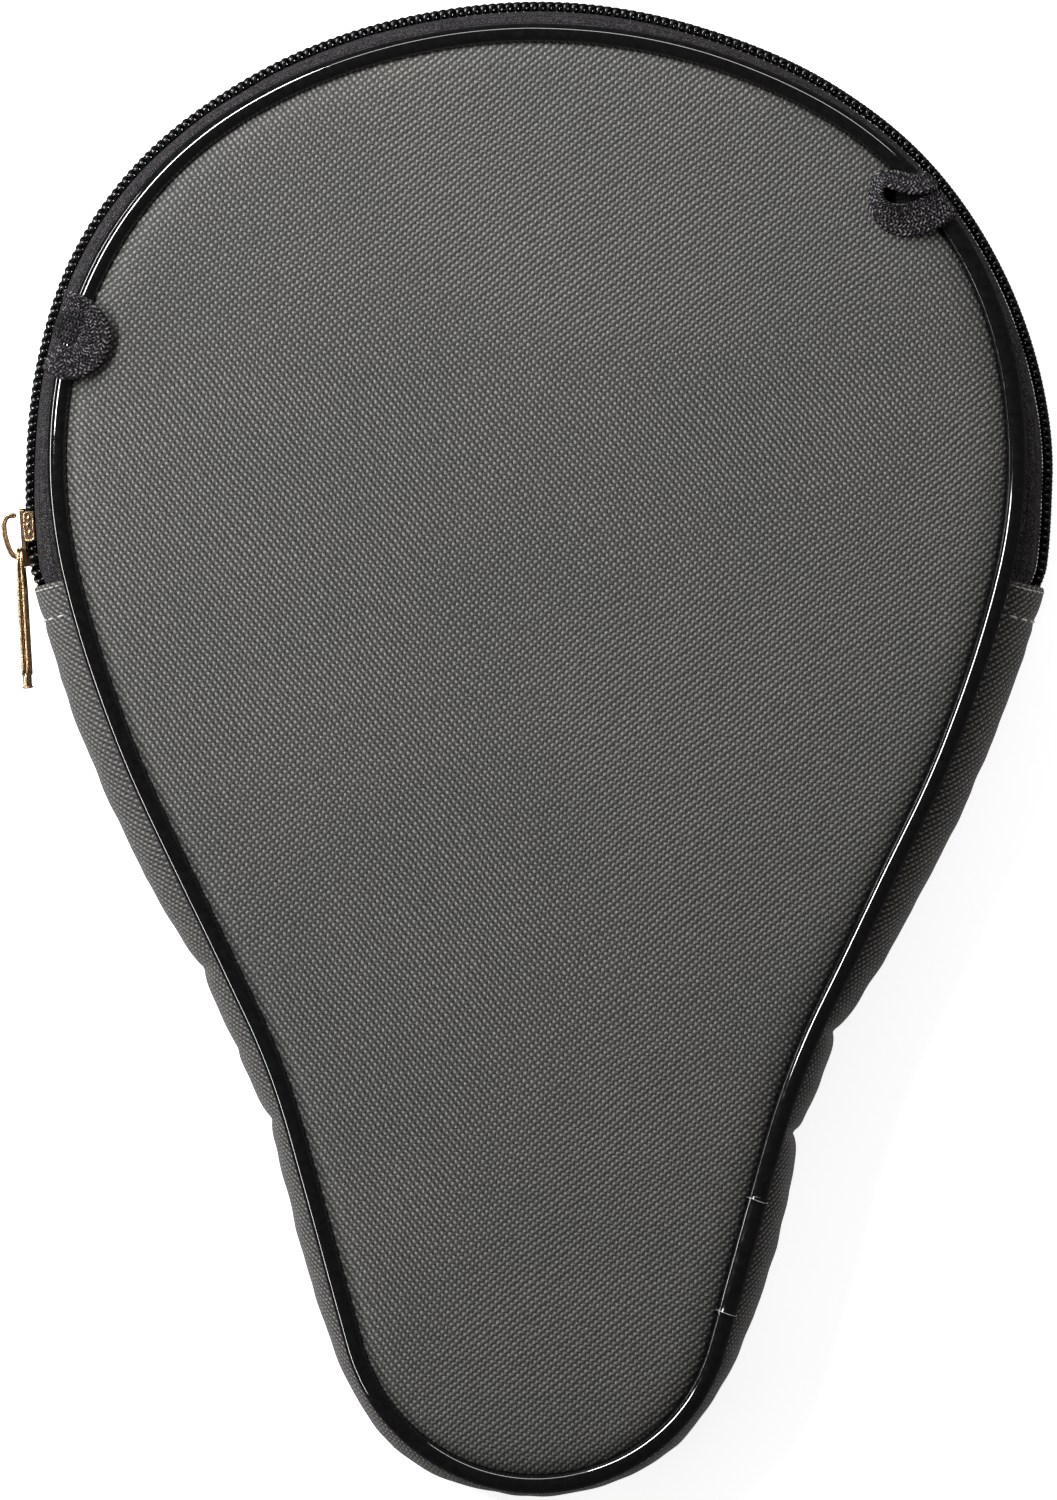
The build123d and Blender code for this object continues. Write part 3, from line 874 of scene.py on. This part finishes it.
def gusset(name, inset, hem):
    """The strip from one zip end round the handle to the other, with a folded hem at both ends."""
    s = np.arange(FOLD_S, LENGTH - FOLD_S + 0.01, 0.8)
    s = np.linspace(FOLD_S, LENGTH - FOLD_S, len(s))
    lean = np.linspace(1, -1, GUSSET_COLUMNS)
    rows = [gusset_surface(s[:, None], lean[None], inset)]
    u = list(s)
    for back, deep, further in HEM if hem else ():
        start = gusset_surface(np.full(GUSSET_COLUMNS, FOLD_S + back), lean, inset + deep)
        end = gusset_surface(np.full(GUSSET_COLUMNS, LENGTH - FOLD_S - back), lean, inset + deep)
        rows = [start[None], *rows, end[None]]
        u = [FOLD_S - further, *u, s[-1] + further]
    return grid(name, np.concatenate(rows, 0), uv_grid(np.array(u), lean * HALF_WIDTH))


gusset_cover = paint(tidy(gusset("gusset_cover", 0.0, True)), GUSSET_CLOTH)
bends(gusset_cover, "shell_fabric", "lower_gusset")
gusset_inside = paint(tidy(gusset("gusset_lining_sheet", 1.5, False)), LINING)
bends(gusset_inside, "lining_fabric", "gusset_lining")


# ---------------------------------------------------------------- stitches on the gusset
def stitch_row(name, place, reach, count, fill=0.62, lift=0.12, size=0.22):
    """Stitches that run across the gusset from seam to seam; reach is how far towards the seams."""
    made = []
    points = 7
    from_middle = np.abs(np.linspace(-1, 1, points))
    edges = np.linspace(reach, -reach, count + 1)
    for low, high in zip(edges[:-1], edges[1:]):
        middle, half = (low + high) / 2, (high - low) / 2 * fill
        lean = np.linspace(middle - half, middle + half, points)
        rise = lift - 0.22 * from_middle**3
        path = gusset_surface(np.full(points, place), lean)
        out = outline_at(np.full(points, place))[1]
        path[:, :2] += out * rise[:, None]
        path[:, 2] += rise * np.sin(lean * math.pi / 2)
        radius = size * (1 - 0.5 * from_middle**4)
        made.append(tube("stitch", path, radius, sides=8, up=(*out[0], 0.2)))
    return paint(join(name, made), THREAD)


def mirrored(s, label):
    """Distances down the right side, or as far down the left one."""
    return s if label == "right" else LENGTH - s


for label in ("right", "left"):
    stitches = stitch_row("gusset_stitches_" + label, mirrored(STITCH_S, label), 0.86, 7)
    bends(stitches, "stitch_thread", "zip_end_stitches_" + label)
    fold_row = stitch_row("fold_stitches_" + label, mirrored(FOLD_S + 0.5, label), 0.9, 15, 0.8, 0.08, 0.14)
    bends(fold_row, "stitch_thread")


def seam_stitches(label):
    """Small stitches beside the front piping, from the fold down to where the gusset hides them."""
    made = []
    first, last, pitch, length, points = 2.5, 52, 2.0, 0.8, 5
    from_middle = np.abs(np.linspace(-1, 1, points))
    for start in np.arange(FOLD_S + first, FOLD_S + last, pitch):
        s = mirrored(np.linspace(start, start + length, points), label)
        path = gusset_surface(s, np.full(points, 0.93))
        path[:, 2] += 0.06 - 0.12 * from_middle**3
        made.append(tube("stitch", path, 0.1 - 0.05 * from_middle**4, sides=6))
    return paint(join("seam_stitches_" + label, made), THREAD)


for label in ("right", "left"):
    bends(seam_stitches(label), "stitch_thread")


# ---------------------------------------------------------------- the zip
ZIP_END = math.degrees(math.asin(-FOLD_Y / ZIP_R))
SLIDER_REST = 184.07
COIL_PITCH = 1.66
COIL_PARTING = 0.75
TAPE_UNDER = -1.25
TAPE_EDGE = 0.85
TAPE_S = right_s(-22.0)

# How far the soft zip line strays from its circle: angle round the head, and mm outwards
ZIP_STRAY = (
    (-14, -0.1),
    (-6, -0.1),
    (0, 0.0),
    (10, 0.8),
    (38, 0.95),
    (54, -0.6),
    (70, -2.5),
    (88, -2.9),
    (104, -2.45),
    (124, 0.0),
    (139, 2.4),
    (152, 3.0),
    (165, 1.6),
    (177, 0.3),
    (194, 0.0),
)
ZIP_STRAY_LINE = catmull(ZIP_STRAY, 12)


def coil_radius(angle):
    """The zip line's distance from its centre; it dives under the gusset's fold at both ends."""
    angle = np.asarray(angle, float)
    depth, first, length = 1.1, 97.2, 4.0
    tuck = depth * smooth((np.abs(angle - 90) - first) / length)
    return ZIP_R + np.interp(angle, *ZIP_STRAY_LINE.T) - tuck


def coil_parting(angle):
    """How far the open coils stand apart past the slider's nose."""
    nose, length = 184.5, 3.0
    return COIL_PARTING * smooth((np.asarray(angle, float) - nose) / length)


def zip_reach(s):
    """At distances s along the outline: how far out the zip line is, and its polar angle."""
    point, normal = outline_at(s)
    first_guess, rounds = 6.0, 12
    reach = np.full(point.shape[:-1], first_guess)
    for _ in range(rounds):
        spot = point + normal * reach[..., None]
        angle = np.degrees(np.arctan2(spot[..., 1], spot[..., 0]))
        angle = np.where(angle < -90, angle + 360, angle)
        reach = reach + coil_radius(angle) - np.hypot(spot[..., 0], spot[..., 1])
    return reach, angle


def curve(t, start, middle, end):
    """A quadratic curve from start to end, pulled toward the middle value."""
    return (1 - t) ** 2 * start + 2 * t * (1 - t) * middle + t**2 * end


def zip_tape(name, front):
    """The tape from the seam beside the piping, out over a soft bend, and down behind the coil."""
    rows, curved, straight = 420, 12, 5
    s = np.linspace(-TAPE_S, TAPE_S, rows)
    reach, angle = zip_reach(s)
    point, normal = outline_at(s)
    t = np.linspace(0, 1, curved)[None]
    start_rho, start_up, bend_up, end_up = 0.8, 8.35, 7.6, 3.1
    end_rho = reach[:, None] + TAPE_UNDER
    down = np.linspace(0, 1, straight)[None, 1:]
    rho = np.concatenate([curve(t, start_rho, end_rho - 0.15, end_rho), end_rho + 0 * down], 1)
    edge_up = TAPE_EDGE + coil_parting(angle)[:, None]
    bent_up = curve(t, start_up, bend_up, end_up) * np.ones_like(rho[:, :curved])
    up = np.concatenate([bent_up, end_up + (edge_up - end_up) * down], 1)
    ripple = 0.12 * wobble_along(s, 9, 91 + front)[:, None]
    rho = rho + ripple * np.sin(np.linspace(0, math.pi, rho.shape[1]))[None]
    sign = 1 if front else -1
    xy = point[:, None] + normal[:, None] * rho[..., None]
    points = np.dstack([xy, MID_Z + sign * up])
    middle = rows // 2
    width = running_sum(np.hypot(np.diff(rho[middle]), np.diff(up[middle])))
    sheet = tidy(grid(name, points, uv_grid(s, width)))
    return paint(thicken(sheet, 0.45, 0.0), TAPE)


def zip_coil(name, front):
    """A row of nylon loops along the zip line, each one round the tape's edge cord."""
    beyond, sides, steps = 2.0, 14, 4000
    depth, middle_up, half_up, wire_r = 0.66, 1.42, 1.3, 0.43
    fine = np.linspace(-ZIP_END - beyond, 180 + ZIP_END + beyond, steps)
    run = running_sum(coil_radius(fine)[1:] * np.radians(np.diff(fine)))
    turns = int(run[-1] / COIL_PITCH)
    phase = np.arange(turns * sides + 1) * 2 * math.pi / sides
    offset = 0.0 if front else COIL_PITCH / 2
    along = phase / (2 * math.pi) * COIL_PITCH + offset
    # the loop's two legs are nearly square to the zip, and its head is wider
    along = along + 0.2 * np.sin(phase * 2)
    angle = np.interp(along, run, fine)
    turn = np.radians(angle)
    across = middle_up + half_up * np.sin(phase)
    sign = 1 if front else -1
    radius = coil_radius(angle) + depth * np.cos(phase)
    z = MID_Z + sign * (across - 0.3 + coil_parting(angle))
    path = np.column_stack([radius * np.cos(turn), radius * np.sin(turn), z])
    wire = wire_r + 0.05 * np.cos(phase)
    # up is slanted so that it never lines up with the wire
    return paint(tube(name, path, wire, sides=7, up=(0.31, 0.17, 0.93)), NYLON)


front_tape = zip_tape("front_tape", True)
bends(front_tape, "zip_tape", "front_zip_tape")
back_tape = zip_tape("back_tape", False)
rides(back_tape, "shell", "zip_tape", "back_zip_tape")
front_coil = zip_coil("front_coil", True)
bends(front_coil, "zip_coil", "front_zip_coil")
back_coil = zip_coil("back_coil", False)
rides(back_coil, "shell", "zip_coil", "back_zip_coil")

# ---------------------------------------------------------------- webbing loops
LOOP_TAPE_T = 1.25
UNDER_TAPE_T = 0.5


def braided_loop(name, rows, tape_t=LOOP_TAPE_T):
    """A flat braided tape along rows of x, y, z, half width and tilt in degrees."""
    fine = catmull(rows, 20)
    centre, half, tilt = fine[:, :3], fine[:, 3], np.radians(fine[:, 4])
    columns, ridge_h, knot_h = 57, 0.16, 0.07
    along = unit(np.gradient(centre, axis=0))
    side = np.cross(along, (0, 0, 1))
    side /= np.maximum(np.linalg.norm(side, axis=1, keepdims=True), 0.3)
    top = np.cross(side, along)
    wide = side * np.cos(tilt)[:, None] + top * np.sin(tilt)[:, None]
    face = top * np.cos(tilt)[:, None] - side * np.sin(tilt)[:, None]
    x = np.concatenate([np.linspace(-1, 1, columns), np.linspace(1, -1, columns)[1:-1]])
    sign = np.concatenate([np.ones(columns), -np.ones(columns - 2)])
    reach = x[None] * half[:, None]
    ridge = np.abs(np.sin(reach / BRAID_COLUMN * math.pi)) * ridge_h
    thick = (tape_t / 2 + ridge - ridge_h) * np.sqrt(np.maximum(1 - x**8, 0))[None] + 0.02
    s = running_sum(np.linalg.norm(np.diff(centre, axis=0), axis=1))
    knots = knot_h * np.sin(s / BRAID_PITCH * 2 * math.pi)[:, None] * (1 - x**8)[None]
    lift = sign[None] * (thick + knots)
    points = centre[:, None] + wide[:, None] * reach[..., None] + face[:, None] * lift[..., None]
    v = np.concatenate([reach, reach[:, :1]], 1) + 20
    uv = np.dstack([np.broadcast_to(s[:, None], v.shape), v])
    return paint(tidy(grid(name, points, uv, wrap_v=True)), BRAID)


RIGHT_LOOP = (
    (78.9, 64.5, 19.8, 2.4, 0),
    (78.4, 64.0, 23.0, 2.5, -10),
    (77.0, 63.3, 25.7, 2.6, -30),
    (74.6, 63.2, 26.4, 2.6, -38),
    (71.9, 63.9, 26.5, 2.6, -42),
    (69.4, 64.2, 26.2, 2.6, -55),
    (68.1, 62.2, 26.0, 2.7, -62),
    (68.2, 59.6, 26.0, 2.8, -55),
    (70.0, 57.2, 25.9, 3.1, -32),
    (73.0, 56.0, 25.8, 3.4, -14),
    (76.4, 56.4, 25.8, 3.5, -8),
    (79.2, 57.7, 25.6, 3.5, -5),
    (81.3, 59.1, 23.8, 3.4, 0),
    (82.2, 59.8, 19.8, 3.2, 0),
)
LEFT_LOOP = (
    (-94.6, 40.3, 19.8, 2.2, 0),
    (-93.9, 40.1, 23.4, 2.3, -10),
    (-91.6, 39.7, 25.9, 2.4, -45),
    (-89.3, 38.4, 26.3, 2.6, -48),
    (-88.2, 36.0, 26.1, 3.1, -28),
    (-88.0, 33.2, 25.8, 3.5, -12),
    (-88.8, 30.5, 25.7, 3.6, -8),
    (-90.6, 28.5, 25.7, 3.5, -8),
    (-93.3, 27.6, 25.6, 3.4, -5),
    (-96.0, 28.3, 24.6, 3.3, 0),
    (-97.4, 29.0, 19.8, 3.0, 0),
)
# The tape's turned-under end, which closes each eye from below; it wears a darker copy of the tape on the
# right and of the braid on the left, painted shade for the shadow in the eye
RIGHT_UNDER = (
    (80.4, 62.4, 20.0, 2.4, 0),
    (79.0, 61.9, 23.8, 2.5, 0),
    (76.2, 60.9, 25.0, 2.7, 0),
    (73.0, 60.0, 25.3, 2.7, 0),
    (70.2, 59.9, 25.3, 2.3, 0),
)
LEFT_UNDER = (
    (-96.2, 36.0, 20.0, 2.2, 0),
    (-95.2, 35.6, 23.8, 2.8, 0),
    (-93.2, 34.9, 25.0, 3.3, 0),
    (-91.2, 34.2, 25.4, 3.3, 0),
    (-89.4, 33.6, 25.4, 2.6, 0),
)
for label, rows, under, shade in (
    ("right", RIGHT_LOOP, RIGHT_UNDER, SHADED_TAPE),
    ("left", LEFT_LOOP, LEFT_UNDER, SHADED_BRAID),
):
    layers = [braided_loop("loop", rows), paint(braided_loop("under", under, UNDER_TAPE_T), shade)]
    webbing = join("braided_loop_" + label, layers)
    rides(webbing, "flap", "webbing", "webbing_loop_" + label)

# ---------------------------------------------------------------- slider and pull
SLIDER_TURN = math.radians(SLIDER_REST)
SLIDER_OUT = np.array((math.cos(SLIDER_TURN), math.sin(SLIDER_TURN), 0))
SLIDER_ALONG = np.array((-math.sin(SLIDER_TURN), math.cos(SLIDER_TURN), 0))
SLIDER_SPOT = SLIDER_OUT * ZIP_R + (0, 0, MID_Z)
UP = np.array((0.0, 0.0, 1.0))


def slider_place(along, out, up=0.0):
    """Points in the slider's own directions: past its nose, away from the zip, and up."""
    along, out, up = (np.asarray(value, float)[..., None] for value in np.broadcast_arrays(along, out, up))
    return SLIDER_SPOT + SLIDER_ALONG * along + SLIDER_OUT * out + UP * up


CROWN_PATH = (
    (-4.45, 3.1),
    (-4.6, 4.1),
    (-4.35, 5.05),
    (-3.3, 5.7),
    (-1.5, 5.78),
    (0.25, 5.55),
    (1.75, 5.15),
    (3.0, 4.65),
    (3.65, 3.95),
    (3.92, 2.8),
    (3.97, 1.7),
)


def crown():
    """The open hook of rounded strip on the slider, with a groove down each side."""
    half_t, half_w, groove, rounded, sides = 0.5, 1.15, 0.16, 6, 24
    path = catmull(CROWN_PATH, 10)
    along = unit(np.gradient(path, axis=0))
    end = np.minimum(np.arange(len(path)), rounded) / rounded
    size = np.sqrt(np.maximum(1 - (1 - end) ** 2, 0.02))
    turn = around(sides)
    thick = squarer(np.cos(turn), 0.75) * half_t
    wide = squarer(np.sin(turn), 0.55) * (half_w - groove * np.exp(-((thick / groove) ** 2)))
    across = thick[None] * size[:, None]
    points = slider_place(
        path[:, :1] - along[:, 1:] * across,
        path[:, 1:] + along[:, :1] * across,
        wide[None] * size[:, None],
    )
    uv = uv_grid(np.arange(len(path)) * 0.2, np.linspace(0, 6, sides + 1))
    hook = grid("crown_hook", points, uv, wrap_v=True)
    fill_ends(hook)
    return paint(tidy(hook), GOLD)


PULL_START, PULL_END, PULL_OUT = 2.3, 30.3, 2.85
PULL_HALF = 1.95
PULL_LEAN = 0.016


def pull_out(along):
    """How far out the pull's middle plane is, at distances along the zip."""
    return PULL_OUT + PULL_LEAN * (np.asarray(along, float) - PULL_START)


def pull():
    """The pull: a frame of two rounded rails with a groove between them, a web, a neck and a lip."""
    corner = 1.7
    turn = np.radians(np.linspace(-90, 90, 13))
    start = PULL_START + corner
    loop_side = [(PULL_HALF - corner) * np.sign(a) + corner * math.sin(a) for a in turn]
    loop = [(start - corner * math.cos(a), b) for a, b in zip(turn, loop_side)]
    far = PULL_END - 3.0
    side = np.linspace(start, far, 40)[1:]
    waist = PULL_HALF - 0.3 * smooth((side - 5) / 3) + 0.1 * smooth((side - 22) / 5)
    right_side = list(zip(side, waist))
    left_side = [(a, -b) for a, b in right_side]
    frame_line = np.array(left_side[::-1] + loop + right_side)
    parts = []
    size = 0.3 + 0.18 * smooth((frame_line[:, 0] - PULL_START) / 9)
    for out in (-1, 1):
        place = pull_out(frame_line[:, 0]) + out * (size + 0.02)
        path = slider_place(frame_line[:, 0], place, frame_line[:, 1])
        parts.append(tube("rail", path, size, sides=16, closed=True, up=SLIDER_OUT))
    # the web between the rails, crowned along its middle, which runs on into the neck
    sides = 20
    a = np.linspace(PULL_START + 4.2, PULL_END - 0.2, 40)[:, None]
    ring = around(sides)
    neck = smooth((a - PULL_END + 3.6) / 0.8)
    wide = squarer(np.sin(ring), 0.5) * (1.7 + 0.2 * neck)
    thick = np.cos(ring) * (0.5 + 0.33 * neck)
    points = slider_place(a + 0 * thick, pull_out(a) + thick, wide)
    uv = uv_grid(a[:, 0], np.linspace(0, 8, sides + 1))
    parts.append(tidy(grid("web", points, uv, wrap_v=True)))
    # the lip, a thin flared bar with rounded ends
    lip_half = 2.35
    z = np.linspace(-lip_half, lip_half, 25)
    size = 1.1 * np.sqrt(np.maximum(1 - (np.abs(z) / (lip_half + 0.01)) ** 8, 0.01))
    path = slider_place(PULL_END - 0.2 + 0 * z, pull_out(PULL_END) + 0 * z, z)
    parts.append(tube("lip", path, size, sides=20, squash=0.24, up=SLIDER_ALONG))
    # the knob at the eye, where the casting's gate was dressed off
    ball = np.linspace(-1, 1, 13)
    path = slider_place(PULL_START - 0.12 + 0.36 * ball, PULL_OUT + 0 * ball, 0 * ball)
    parts.append(tube("knob", path, 0.42 * np.sqrt(np.maximum(1 - ball**2, 0.02)), sides=12, up=UP))
    return paint(join("pull_plate", parts), GOLD)


def flange_relief():
    """Raised rims and bosses cast on the slider's two flanges."""
    parts = []
    middle = 0.4
    low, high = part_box("slider_body")
    for side, face in ((1, high.z / MM - MID_Z), (-1, low.z / MM - MID_Z)):
        turn = np.radians(np.arange(0, 360, 9))
        along = -2.25 + squarer(np.cos(turn), 0.35) * 2.75
        out = middle + squarer(np.sin(turn), 0.35) * 0.88
        path = slider_place(along, out, face + 0 * along - side * 0.08)
        parts.append(tube("rim", path, 0.16, sides=10, closed=True))
        for place, length in ((-3.9, 0.42), (-2.5, 0.5), (-1.0, 0.55)):
            t = np.linspace(-1, 1, 11)
            path = slider_place(place + length * t, middle + 0.14 * np.sin(place * 7 + t), face + 0 * t)
            size = 0.34 * np.sqrt(np.maximum(1 - t**2, 0.03))
            parts.append(tube("boss", path, size, sides=10, squash=0.6))
        arc = np.linspace(-1, 1, 13)
        path = slider_place(0.75 - 0.35 * arc**2, middle + 0.95 * arc, face - side * 0.1 + 0 * arc)
        parts.append(tube("crescent", path, 0.32 - 0.12 * arc**2, sides=10))
    return paint(join("flange_relief", parts), GOLD)


rides(crown(), "slider", "gold_metal", "slider_crown")
rides(pull(), "pull", "gold_metal", "pull_tab")
rides(flange_relief(), "slider", "gold_metal")
slider_body = paint(frame["nodes"]["slider_body"], GOLD)
edge_round = slider_body.modifiers.new("edge_round", "BEVEL")
edge_round.width = 0.16 * MM
edge_round.segments = 3
edge_round.limit_method = "ANGLE"
edge_round.angle_limit = math.radians(35)


# ---------------------------------------------------------------- stage, lights and camera
def area_light(name, place, target, size, power, reflected=True):
    """A rectangular soft light that points at a target; place and target in mm."""
    lamp = bpy.data.lights.new(name, "AREA")
    lamp.shape = "RECTANGLE"
    lamp.size, lamp.size_y = size[0] * MM, size[1] * MM
    lamp.energy = power
    holder = bpy.data.objects.new(name, lamp)
    holder.location = Vector(place) * MM
    aim = (Vector(target) - Vector(place)).normalized()
    holder.rotation_mode = "QUATERNION"
    holder.rotation_quaternion = aim.to_track_quat("-Z", "Y")
    holder.visible_glossy = reflected
    bpy.context.scene.collection.objects.link(holder)
    return holder


def stage():
    """A pale floor, a pale world and soft lights, mostly from the upper left."""
    bpy.ops.mesh.primitive_plane_add(size=6.0, location=(0, 0, -0.0005))
    floor = bpy.context.object
    floor.name = "floor"
    shader = Shader("floor_paper", roughness=0.9, specular=0.1, Emission_Strength=0.78)
    shader.shader.inputs["Emission Color"].default_value = (1, 1, 1, 1)
    grain = shader.object_noise(2.0, 2.0)
    colour = shader.ramp(grain, (0.3, (0.68, 0.68, 0.68)), (0.7, (0.72, 0.72, 0.72)))
    floor.data.materials.append(shader.finish(colour))
    floor.visible_glossy = False
    world = bpy.data.worlds.new("studio")
    world.use_nodes = True
    sky = world.node_tree.nodes["Background"]
    sky.inputs["Color"].default_value = (1, 1, 1, 1)
    sky.inputs["Strength"].default_value = 0.05
    bpy.context.scene.world = world
    target = (0, -50, 12)
    area_light("left_strip", (-950, -20, 165), (0, -20, 12), (1500, 60), 8.0)
    area_light("key_box", (-480, 540, 620), (0, 540, 12), (1000, 85), 19.0)
    area_light("top_panel", (150, 950, 560), target, (1200, 110), 4.5)
    area_light("right_fill", (1000, 100, 420), target, (900, 500), 4.5, False)


def camera():
    """Looks down on the front panel, from slightly towards the head and the right side."""
    lens_mm, distance = 240.0, 2000.0
    target = Vector((-1.4, -49.7, FRONT_SEAM_Z))
    back = Vector((0.05, 0.03, 1.0)).normalized()
    data = bpy.data.cameras.new("camera")
    data.lens = lens_mm
    data.sensor_width = 36.0
    data.clip_start, data.clip_end = 0.05, 20
    holder = bpy.data.objects.new("camera", data)
    holder.location = (target + back * distance) * MM
    right = Vector((0, 1, 0)).cross(back).normalized()
    up = back.cross(right)
    turn = Matrix((right, up, back)).transposed()
    holder.rotation_mode = "QUATERNION"
    holder.rotation_quaternion = turn.to_quaternion()
    bpy.context.scene.collection.objects.link(holder)
    bpy.context.scene.camera = holder
    view = bpy.context.scene.view_settings
    view.view_transform = "Standard"
    view.look = "None"
    view.exposure = 0.0


stage()
camera()
